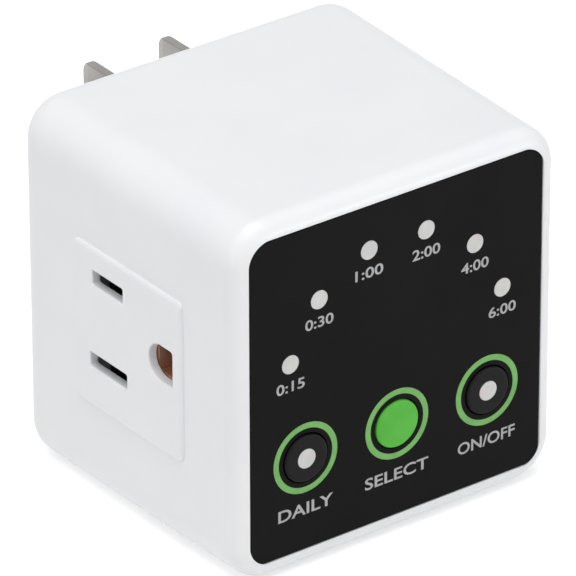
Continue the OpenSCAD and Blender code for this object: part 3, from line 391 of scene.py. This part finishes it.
HEAD_HALF_W = 12.05
HEAD_HALF_H = 12.1
HEAD_CORNER = 1.0
BODY_HALF_W = 11.35
BODY_HALF_H = 11.4
BODY_CORNER = 0.3
BODY_WALL = 1.0
BODY_END = -23.2
PROUD = 0.6
PLATE_T = 1.4
SLOT_Y = -21.2
SLOT_H = 2.2
SLOT_CORNER = 0.25
LIVE_Z = 7.65
LIVE_L = 6.8
NEUTRAL_Z = -5.05
NEUTRAL_L = 8.3
EARTH_Y = -33.1
EARTH_HOLE_Z = 1.3
EARTH_HOLE_R = 2.65
EARTH_HOLE_FLAT = 2.45
EARTH_HOLE_CORNER = 0.5
EARTH_HOLE_SHIFT = 0.17
MOUTH = 0.3


def rounded_box_outline(y, z, half_w, half_h, corner, steps=5):
    """A rectangle in the YZ plane with rounded corners, as (y, z) pairs."""
    outline = []
    for side, (sy, sz) in enumerate(((1, 1), (-1, 1), (-1, -1), (1, -1))):
        for i in range(steps + 1):
            turn = math.pi / 2 * (side + i / steps)
            outline.append((y + sy * (half_w - corner) + corner * math.cos(turn),
                            z + sz * (half_h - corner) + corner * math.sin(turn)))
    return outline


def on_face(outline, sunk):
    """Lays an outline sunk by the given depth below the leaning face of the left outlet."""
    return [Vector((-half_at(y) - PROUD + sunk, y, z)) * MM for y, z in outline]


def at_depth(outline, x):
    """Lays an outline upright at one distance from the middle of the cube."""
    return [Vector((x, y, z)) * MM for y, z in outline]


def slot_outline(z, length, grow):
    """A slot's rectangle, grown by the given amount."""
    return rounded_box_outline(SLOT_Y, z, length / 2 + grow, SLOT_H / 2 + grow, SLOT_CORNER + grow / 2)


def earth_outline(grow):
    """Flat towards the front with small corners, round towards the slots."""
    radius = EARTH_HOLE_R + grow
    flat = EARTH_Y - EARTH_HOLE_FLAT - grow
    corner = EARTH_HOLE_CORNER
    round_y = EARTH_Y + EARTH_HOLE_SHIFT
    outline = []
    for i in range(25):
        turn = math.pi * (i / 24 - 0.5)
        outline.append((round_y + radius * math.cos(turn), EARTH_HOLE_Z + radius * math.sin(turn)))
    for side in (1, -1):
        for i in range(6):
            turn = math.pi / 2 * (i / 5 if side == 1 else 1 - i / 5)
            outline.append((flat + corner - corner * math.sin(turn),
                            EARTH_HOLE_Z + side * (radius - corner + corner * math.cos(turn))))
    return outline


def opening_tool(outline_of):
    """A closed tool that cuts an opening with a bevelled mouth through the plate."""
    rows = [on_face(outline_of(MOUTH), -PAST)]
    rows += [on_face(outline_of(MOUTH * (1 - s)), MOUTH * (1 - c)) for s, c in quarter(4)]
    rows.append(on_face(outline_of(0.0), PLATE_T + PAST))
    return to_mesh(skin(rows)[0], "opening")


def outlet_plate():
    """The head's rounded edge, its underside on the wall, and the body behind it with its hollow."""
    def head(shrink):
        return rounded_box_outline(OUTLET_MID, 0, HEAD_HALF_W - shrink, HEAD_HALF_H - shrink,
                                   HEAD_CORNER - shrink / 2)

    body = rounded_box_outline(OUTLET_MID, 0, BODY_HALF_W, BODY_HALF_H, BODY_CORNER)
    hollow = rounded_box_outline(OUTLET_MID, 0, BODY_HALF_W - BODY_WALL, BODY_HALF_H - BODY_WALL,
                                 BODY_CORNER)
    rows = [on_face(head(PROUD * (1 - s)), PROUD * (1 - c)) for s, c in quarter(8)]
    rows += [on_face(body, PROUD), at_depth(body, BODY_END), at_depth(hollow, BODY_END),
             on_face(hollow, PLATE_T)]
    tools = [opening_tool(lambda grow: slot_outline(LIVE_Z, LIVE_L, grow)),
             opening_tool(lambda grow: slot_outline(NEUTRAL_Z, NEUTRAL_L, grow)),
             opening_tool(earth_outline)]
    return cut(to_mesh(skin(rows)[0], "outlet_plate"), tools)


left_plate = outlet_plate()
right_plate = left_plate.copy()
right_plate.transform(Matrix.Rotation(math.pi, 4, "Y"))
place_piece("outlet_plate_left", left_plate, "timer", "white_shell", white_abs, "outlet_face_left")
place_piece("outlet_plate_right", right_plate, "timer", "white_shell", white_abs, "outlet_face_right")


# ---------------------------------------------------------------- front panel
# A black polycarbonate plate lies in the seat of the front, printed from the face side. It is
# matt, so it shows almost none of the room, and its edge has a fine bevel.

PANEL_HALF = 24.15
PANEL_CORNER = 2.6
PANEL_FACE = -48.4
PANEL_EDGE = 0.15
HOLE_BREAK = 0.08


# Matt black polycarbonate: a fine emboss scatters what light it throws back into a faint even
# veil. The emboss is drawn at 0.3 mm, a few times its real pitch.
def embossed_black(name, first, second, roughness):
    material, shader, place = surface(name, IOR=1.5, Specular_IOR_Level=0.07)
    tint(material, shader, place, 20, first, second)
    roughen(material, shader, place, 0.3, 0.006, roughness - 0.05, roughness + 0.05)
    return material


def face_panel():
    """The plate with its fine bevel, and the holes of the windows and the buttons."""
    rows = [(SEAT_FLOOR, PANEL_HALF, PANEL_CORNER)]
    for s, c in quarter(3):
        inset = PANEL_EDGE * (1 - c)
        rows.append((PANEL_FACE + PANEL_EDGE * (1 - s), PANEL_HALF - inset, PANEL_CORNER - inset))
    mesh = to_mesh(skin([square_ring(*row) for row in rows])[0], "face_panel")
    holes = [round_bar(at, 1, WINDOW_R + WINDOW_GAP, PANEL_FACE - PAST, SEAT_FLOOR + PAST)
             for at in window_at]
    for x in BUTTON_X:
        holes.append(round_bar((x, BUTTON_Z), 1, BUTTON_HOLE_R, PANEL_FACE - HOLE_BREAK,
                               SEAT_FLOOR + PAST, mouth=HOLE_BREAK))
    return cut(mesh, holes)


panel_black = embossed_black("embossed_black_polycarbonate", "060606", "080707", 0.5)
place_piece("face_panel", face_panel(), "timer", "black_panel", panel_black, "front_panel")


# ---------------------------------------------------------------- printing
# The rings round the buttons and the words and figures are screen-printed on the panel: a film of
# ink two hundredths of a millimetre thick, dull, with faintly uneven cover.

INK_T = 0.02
RING_OUTER = 5.25
RING_INNER = 4.39
RING_STEPS = 96
FIGURE_DROP = 3.3
FIGURE_H = 1.6
FIGURE_W = 4.6
WORD_Z = -17.9
WORD_H = 1.8
FIGURES = ["0:15", "0:30", "1:00", "2:00", "4:00", "6:00"]
WORDS = [("DAILY", 9.0), ("SELECT", 10.6), ("ON/OFF", 9.7)]


# Screen ink: pigment with little binder, so it is dull and a touch darker where it lies thin.
def screen_ink(name, first, second):
    material, shader, place = surface(name, IOR=1.45)
    tint(material, shader, place, 2.5, first, second)
    roughen(material, shader, place, 0.2, 0.003, 0.5, 0.62)
    return material


def circle(x, y, z, radius, steps=ROUND_STEPS):
    """Points round a circle that faces the front."""
    turns = [2 * math.pi * i / steps for i in range(steps)]
    return [Vector((x + radius * math.cos(turn), y, z + radius * math.sin(turn))) * MM for turn in turns]


def printed_ring(x):
    """A flat ring of ink round one button."""
    profile = ((RING_INNER, PANEL_FACE), (RING_OUTER, PANEL_FACE),
               (RING_OUTER - INK_T, PANEL_FACE - INK_T), (RING_INNER + INK_T, PANEL_FACE - INK_T))
    rows = [circle(x, y, BUTTON_Z, radius, RING_STEPS) for radius, y in profile]
    return to_mesh(skin(rows, closed=True)[0], "ring")


def printed_words(words, x, z, width, height):
    """A word in ink, a touch bolder than the plain letters, fitted to a size and centred on (x, z)."""
    curve = bpy.data.curves.new("words", "FONT")
    curve.body = words
    curve.extrude = 0.01
    curve.offset = 0.015
    curve.resolution_u = 4
    holder = bpy.data.objects.new("words", curve)
    bpy.context.scene.collection.objects.link(holder)
    scene_now = bpy.context.evaluated_depsgraph_get()
    mesh = bpy.data.meshes.new_from_object(holder.evaluated_get(scene_now))
    bpy.data.objects.remove(holder)
    bpy.data.curves.remove(curve)
    low = [min(v.co[i] for v in mesh.vertices) for i in range(3)]
    high = [max(v.co[i] for v in mesh.vertices) for i in range(3)]
    for vert in mesh.vertices:
        across = (vert.co.x - (low[0] + high[0]) / 2) / (high[0] - low[0]) * width
        up = (vert.co.y - low[1]) / (high[1] - low[1]) * height - height / 2
        out = (vert.co.z - low[2]) / (high[2] - low[2]) * INK_T
        vert.co = Vector((x + across, PANEL_FACE - out, z + up)) * MM
    bm = bmesh.new()
    bm.from_mesh(mesh)
    bmesh.ops.remove_doubles(bm, verts=bm.verts, dist=0.001 * MM)
    bpy.data.meshes.remove(mesh)
    return to_mesh(bm, "words")


ring_ink = screen_ink("green_screen_ink", "6ca958", "74b360")
grey_ink = screen_ink("grey_screen_ink", "a6a6a8", "b2b2b4")
for side, x in zip(("left", "middle", "right"), BUTTON_X):
    place_piece("ring_print_" + side, printed_ring(x), "timer", "black_panel", ring_ink)
for i, (figure, (x, z)) in enumerate(zip(FIGURES, window_at)):
    mesh = printed_words(figure, x, z - FIGURE_DROP, FIGURE_W, FIGURE_H)
    place_piece("time_print_" + str(i + 1), mesh, "timer", "black_panel", grey_ink)
for (word, width), x in zip(WORDS, BUTTON_X):
    mesh = printed_words(word, x, WORD_Z, width, WORD_H)
    place_piece("word_print_" + word[:2].lower(), mesh, "timer", "black_panel", grey_ink)


# ---------------------------------------------------------------- light windows
# Six light pipes of frosted acrylic on one strip end flush with the panel, and two of the buttons
# have a pipe of their own. Unlit, they look light grey.

# Frosted acrylic: light enters, scatters and comes back, so the discs look pale and soft.
def frosted_acrylic(name):
    material, shader, place = surface(name, IOR=1.49, Subsurface_Weight=0.3, Subsurface_Scale=0.4 * MM)
    tint(material, shader, place, 3, "cfcecd", "d7d6d4")
    roughen(material, shader, place, 0.25, 0.004, 0.35, 0.45)
    return material


def dress(node, material):
    """Gives a CAD node its finish."""
    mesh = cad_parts[node].data
    mesh.materials.clear()
    mesh.materials.append(material)


acrylic = frosted_acrylic("frosted_acrylic")
for node in ("light_guide", "repeat_lens", "power_lens"):
    dress(node, acrylic)


# ---------------------------------------------------------------- buttons
# Round caps of moulded ABS come through the panel. Each is one piece with a plate behind the
# wall, which keeps it in and pushes on its switch. The outer two are black round a light pipe.

BUTTON_R = 3.5
BUTTON_FACE = -48.7
CAP_EDGE = 0.3
CAP_CROWN = 0.05
PIPE_HOLE_R = 1.48
PIPE_HOLE_BREAK = 0.06
KEY_FRONT = -45.15
KEY_REAR = -44.15
KEY_HALF_W = 4.4
KEY_DROP = 7.2


# Coloured ABS from a polished mould, dulled by a fine matt wash.
def coloured_abs(name, first, second, gloss=0.5):
    material, shader, place = surface(name, IOR=1.5, Specular_IOR_Level=gloss)
    tint(material, shader, place, 4, first, second)
    roughen(material, shader, place, 0.3, 0.004, 0.38, 0.46)
    return material


def plate_ring(x, y):
    """The outline of the plate behind a cap, met along the same rays as the cap's ring."""
    points = []
    for i in range(ROUND_STEPS):
        turn = 2 * math.pi * i / ROUND_STEPS
        across, up = math.cos(turn), math.sin(turn)
        reach = min(KEY_HALF_W / max(abs(across), 1e-6),
                    (KEY_HALF_W if up > 0 else KEY_DROP) / max(abs(up), 1e-6))
        points.append(Vector((x + reach * across, y, BUTTON_Z + reach * up)) * MM)
    return points


def button_cap(x, hole):
    """A cap and its plate: flat round a hole for a light pipe, or whole and faintly crowned."""
    profile = []
    if hole:
        profile += [(KEY_REAR, hole), (BUTTON_FACE + PIPE_HOLE_BREAK, hole),
                    (BUTTON_FACE, hole + PIPE_HOLE_BREAK)]
    crown, inner = (0.0, 0.6) if hole else (CAP_CROWN, 0.0)
    for i in range(1, 4):
        share = i / 3
        reach = inner + (1 - inner) * share
        profile.append((BUTTON_FACE + crown * share ** 2, (BUTTON_R - CAP_EDGE) * reach))
    for s, c in quarter(5)[1:]:
        profile.append((BUTTON_FACE + crown + CAP_EDGE * (1 - c), BUTTON_R - CAP_EDGE * (1 - s)))
    profile.append((KEY_FRONT, BUTTON_R))
    rows = [circle(x, y, BUTTON_Z, radius) for y, radius in profile]
    rows += [plate_ring(x, KEY_FRONT), plate_ring(x, KEY_REAR)]
    return to_mesh(skin(rows, closed=bool(hole))[0], "cap")


cap_black = coloured_abs("black_button_abs", "0e0d0d", "121010", 0.11)
cap_green = coloured_abs("green_button_abs", "4ab02f", "52b837", 0.35)
left_cap = button_cap(BUTTON_X[0], PIPE_HOLE_R)
middle_cap = button_cap(BUTTON_X[1], 0)
right_cap = button_cap(BUTTON_X[2], PIPE_HOLE_R)
place_piece("repeat_cap", left_cap, "repeat_key", "black_key", cap_black, "repeat_button")
place_piece("select_cap", middle_cap, "select_key", "green_key", cap_green, "select_button")
place_piece("power_cap", right_cap, "power_key", "black_key", cap_black, "power_button")


# ---------------------------------------------------------------- blades and earth pin
# The blades are punched from brass strip and nickel-plated, with their edges broken and their tips
# rounded and thinned. The earth pin is turned, plated like them, and longer.

BLADE_L = 15.9
BLADE_HALF_W = 3.175
BLADE_HALF_T = 0.75
BLADE_TIP_R = 1.7
BLADE_THINNING = 0.4
BLADE_BREAK = 0.15
BLADE_SEAT = -4.0
BLADE_EYE_Y = 11.9
BLADE_EYE_R = 1.6
LIVE_TAIL = -5.6
NEUTRAL_TAIL = -11.2
PIN_R = 2.38
PIN_L = 20.6
PIN_TIP = 2.0
PIN_TIP_INSET = 1.45
# Depth and radius along the pin's tail, its collar and the length that stands in the cover.
PIN_FOOT = [(-5.6, 1.8), (-4.0, 1.8), (-4.0, 3.4), (-2.5, 3.4),
            (-2.5, 2.6), (-0.1, 2.6), (0.0, 2.5), (0.0, PIN_R)]


# Bright nickel over brass: slightly warm, with fine lines along the strip from rolling.
def nickel_plate(name):
    material, shader, place = surface(name, Metallic=1.0)
    tint(material, shader, place, 5, "8e8c89", "9c9a96")
    fine, long = 1 / (0.12 * MM), 1 / (6 * MM)
    stretch = add(material, "Mapping", {"Scale": (fine, long, fine)}, {"Vector": place})
    lines = add(material, "TexNoise", {"Scale": 1.0, "Detail": 2.0}, {"Vector": stretch.outputs["Vector"]})
    grain_and_shine(material, shader, lines, 0.002, lines, 0.28, 0.4)
    return material


def blade(x, tail):
    """A blade as rows of eight points from its tail to its tip, with its four long edges broken."""
    straight = BLADE_L - BLADE_TIP_R
    stations = [tail, BLADE_SEAT, straight]
    stations += [straight + BLADE_TIP_R * s for s, c in quarter(10)[1:]]
    rows = []
    for y in stations:
        past = max(0.0, y - straight)
        w = BLADE_HALF_W - BLADE_TIP_R + math.sqrt(max(0.0, BLADE_TIP_R ** 2 - past ** 2))
        t = BLADE_HALF_T - BLADE_THINNING * past / BLADE_TIP_R
        flat_w, flat_t = w - BLADE_BREAK, t - BLADE_BREAK
        outline = [(t, -flat_w), (t, flat_w), (flat_t, w), (-flat_t, w),
                   (-t, flat_w), (-t, -flat_w), (-flat_t, -w), (flat_t, -w)]
        rows.append([Vector((x + across, y, BLADE_Z + up)) * MM for across, up in outline])
    eye = round_bar((BLADE_EYE_Y, BLADE_Z), 0, BLADE_EYE_R, x - 2 * PAST, x + 2 * PAST)
    return cut(to_mesh(skin(rows)[0], "blade"), [eye])


def turned_pin():
    """The earth pin as rings: stepped where it stands in the cover, with a bullet tip."""
    tip = [(PIN_L - PIN_TIP + PIN_TIP * s, PIN_R - PIN_TIP_INSET * (1 - c)) for s, c in quarter(10)]
    rows = [circle(PLUG_X, y, EARTH_Z, radius) for y, radius in PIN_FOOT + tip]
    return to_mesh(skin(rows)[0], "turned_pin")


nickel = nickel_plate("nickel_plated_brass")
neutral_blade, live_blade = blade(blade_x[0], NEUTRAL_TAIL), blade(blade_x[1], LIVE_TAIL)
place_piece("neutral_plug_blade", neutral_blade, "timer", "plated_blade", nickel, "neutral_blade")
place_piece("live_plug_blade", live_blade, "timer", "plated_blade", nickel, "live_blade")
place_piece("earth_plug_pin", turned_pin(), "timer", "plated_blade", nickel, "earth_pin")


# ---------------------------------------------------------------- screws
# Pan-head screws of zinc-plated steel with a cross recess hold the cover, the contact blocks and
# the boards. Only the four in the wall cover show.

# Zinc plate: a bluish grey with a fine crystalline mottle.
def zinc_plate(name):
    material, shader, place = surface(name, Metallic=1.0)
    tint(material, shader, place, 0.6, "a9acb0", "bcbfc2")
    roughen(material, shader, place, 0.15, 0.003, 0.3, 0.42)
    return material


zinc = zinc_plate("zinc_plated_steel")
for node in ("cover_screws", "contact_block_screws", "control_board_screws", "power_board_screws"):
    dress(node, zinc)


# ---------------------------------------------------------------- contacts and strips
# Inside, stamped brass strips carry the current from the blades to the relay and the outlets, and
# a copper channel behind each earth hole grips an earth pin. Black blocks hold the contacts; their
# black is also painted shade, which makes the slots look as dark inside as deep shade.

# Stamped sheet metal: rolled smooth and a little stained, so that its shine wanders.
def stamped_sheet(name, first, second, roughness=0.35):
    material, shader, place = surface(name, Metallic=1.0)
    tint(material, shader, place, 3, first, second)
    roughen(material, shader, place, 0.4, 0.004, roughness - 0.07, roughness + 0.07)
    return material


# Moulded engineering plastic: dull, with a faint mottle from the filler in it.
def moulded_plastic(name, first, second, roughness=0.5):
    material, shader, place = surface(name, IOR=1.5)
    tint(material, shader, place, 4, first, second)
    roughen(material, shader, place, 0.4, 0.008, roughness - 0.06, roughness + 0.06)
    return material


brass = stamped_sheet("stamped_brass", "c49a4e", "d3aa5c")
copper = stamped_sheet("stamped_copper", "d2a48a", "deb298", 0.55)
# Painted shade: the blocks are made black so that the outlet slots look dark inside, on top of the blocks'
# own dark colour.
phenolic_and_painted_shade = moulded_plastic("black_phenolic_painted_shade", "151313", "1b1817")
for node in ("live_contact_left", "live_contact_right", "neutral_contact_left", "neutral_contact_right",
             "live_feed_strip", "live_bus", "neutral_bus", "relay_contact", "header_pins"):
    dress(node, brass)
for node in ("earth_contact_left", "earth_contact_right", "earth_bus"):
    dress(node, copper)
for node in ("contact_block_left", "contact_block_right", "blade_clamp"):
    dress(node, phenolic_and_painted_shade)


# ---------------------------------------------------------------- boards and components
# Two glass-fibre boards carry the rest: the timer and its push switches behind the panel, and the
# supply and the relay on the floor. Nothing of them shows once the cube is closed.

# Solder mask over glass-fibre cloth: a wet-looking green in which the weave just shows, at 0.5 mm.
def solder_mask(name):
    material, shader, place = surface(name, IOR=1.5)
    weave = add(material, "TexWave", {"Scale": 1 / (3.2 * MM), "Distortion": 0.4}, {"Vector": place})
    shades = add(material, "ValToRGB", links={"Fac": weave.outputs["Fac"]})
    shades.color_ramp.elements[0].color = linear("0d4a22")
    shades.color_ramp.elements[1].color = linear("13582a")
    material.node_tree.links.new(shades.outputs["Color"], shader.inputs["Base Color"])
    roughen(material, shader, place, 0.5, 0.006, 0.2, 0.3)
    return material


board_green = solder_mask("green_solder_mask")
enamelled_wire = stamped_sheet("enamelled_copper_wire", "8f3f1e", "a6502a")
soft_iron = stamped_sheet("soft_iron", "77787a", "8a8b8d")
tinned = stamped_sheet("tinned_can", "b9b8b4", "c8c7c3")
black_case = moulded_plastic("black_epoxy", "121212", "191919")
blue_case = moulded_plastic("blue_lacquer", "12307a", "1a3c8c", 0.3)
navy_sleeve = moulded_plastic("navy_sleeve", "0e1838", "142147", 0.35)
ochre_case = moulded_plastic("ochre_epoxy", "b98a26", "c8993a", 0.35)
brown_tube = moulded_plastic("brown_ceramic", "5f3a22", "6d452b", 0.45)
clear_resin = moulded_plastic("clear_resin", "d9d3a8", "e3deba", 0.25)
finishes = {
    board_green: ("control_board", "power_board"),
    enamelled_wire: ("relay_coil",),
    soft_iron: ("relay_yoke", "relay_armature"),
    tinned: ("crystal",),
    black_case: ("repeat_plunger", "select_plunger", "power_plunger", "switch_bodies", "header_base",
                 "relay_base", "driver_transistor", "controller_chip", "chip_resistors",
                 "rectifier_diodes"),
    blue_case: ("relay_cover", "varistor"),
    navy_sleeve: ("filter_capacitor",),
    ochre_case: ("film_capacitor",),
    brown_tube: ("fuse",),
    clear_resin: ("indicator_chips",),
}
for finish, nodes in finishes.items():
    for node in nodes:
        dress(node, finish)


# ---------------------------------------------------------------- floor, light and camera
# The timer stands on a white floor in soft light from above, from the left and from the front
# right, where a long low box lights the panel's rim.

floor_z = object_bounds()[0].z
FLOOR_HALF = 3.0


def seen_level(owner, unseen, seen):
    """One strength for rays seen straight or by way of gloss or glass, another for all other rays."""
    path = add(owner, "LightPath")
    total = path.outputs["Is Camera Ray"]
    for ray in ("Is Glossy Ray", "Is Transmission Ray"):
        both = add(owner, "Math", {"operation": "ADD", "use_clamp": True}, {0: total, 1: path.outputs[ray]})
        total = both.outputs[0]
    return add(owner, "MapRange", {"To Min": unseen, "To Max": seen}, {"Value": total}).outputs["Result"]


def studio_white(name, glow):
    """White card. What the eye sees of it directly, or in metal, is lifted to white by a faint glow."""
    material, shader = surface(name, Base_Color=linear("f2f2f2"), Roughness=0.9)[:2]
    light = add(material, "Emission", {"Color": (1, 1, 1, 1)},
                {"Strength": seen_level(material, 0.0, glow)})
    both = add(material, "AddShader", links={0: shader.outputs[0], 1: light.outputs[0]})
    output = [n for n in material.node_tree.nodes if n.type == "OUTPUT_MATERIAL"][0]
    material.node_tree.links.new(both.outputs[0], output.inputs["Surface"])
    return material


def studio_floor(half):
    """A square that the cube stands on."""
    bm = bmesh.new()
    square = ((-half, -half), (half, -half), (half, half), (-half, half))
    bm.faces.new([bm.verts.new((x, y, floor_z)) for x, y in square])
    mesh = bpy.data.meshes.new("studio_floor")
    bm.to_mesh(mesh)
    bm.free()
    return mesh


floor = bpy.data.objects.new("studio_floor", studio_floor(FLOOR_HALF))
bpy.context.scene.collection.objects.link(floor)
floor.data.materials.append(studio_white("white_card", 0.5))


def softbox(name, position, target, width, height, power):
    """A lamp behind a cloth of the given size, turned to its target, with its power in watts."""
    lamp = bpy.data.lights.new(name, "AREA")
    lamp.shape = "RECTANGLE"
    lamp.size = width
    lamp.size_y = height
    lamp.energy = power
    holder = bpy.data.objects.new(name, lamp)
    bpy.context.scene.collection.objects.link(holder)
    holder.location = position
    holder.rotation_euler = (Vector(target) - Vector(position)).to_track_quat("-Z", "Y").to_euler()


cube_middle = (0, -0.024, 0)
panel_middle = (0, -0.04, 0)
softbox("top_softbox", (-0.15, -0.1, 0.9), cube_middle, 0.8, 0.8, 6.6)
softbox("left_softbox", (-0.9, -0.3, 0.35), cube_middle, 0.7, 0.7, 1.75)
softbox("front_softbox", (0.45, -0.8, 0.04), panel_middle, 0.6, 0.12, 2.25)

world = bpy.data.worlds.new("studio_world")
bpy.context.scene.world = world
world.use_nodes = True
walls = world.node_tree.nodes["Background"]
walls.inputs["Color"].default_value = (1.0, 1.0, 1.0, 1.0)
world.node_tree.links.new(seen_level(world, 0.25, 1.0), walls.inputs["Strength"])
bpy.context.scene.view_settings.view_transform = "Standard"

# The camera stands in front, to the left and above, with a long lens.
AIM = Vector((-0.369, -24.565, -0.011)) * MM
DISTANCE = 971.1 * MM
AZIMUTH = math.radians(36.419)
ELEVATION = math.radians(28.837)
ROLL = math.radians(-0.142)
LENS = 450.6
SENSOR = 36
view = Vector((math.sin(AZIMUTH) * math.cos(ELEVATION), math.cos(AZIMUTH) * math.cos(ELEVATION),
               -math.sin(ELEVATION)))
camera = bpy.data.objects.new("camera", bpy.data.cameras.new("camera"))
bpy.context.scene.collection.objects.link(camera)
camera.data.sensor_width = SENSOR
camera.data.lens = LENS
camera.data.clip_start = 0.05
camera.location = AIM - view * DISTANCE
camera.rotation_mode = "QUATERNION"
camera.rotation_quaternion = view.to_track_quat("-Z", "Y") @ Quaternion((0, 0, 1), ROLL)
bpy.context.scene.camera = camera
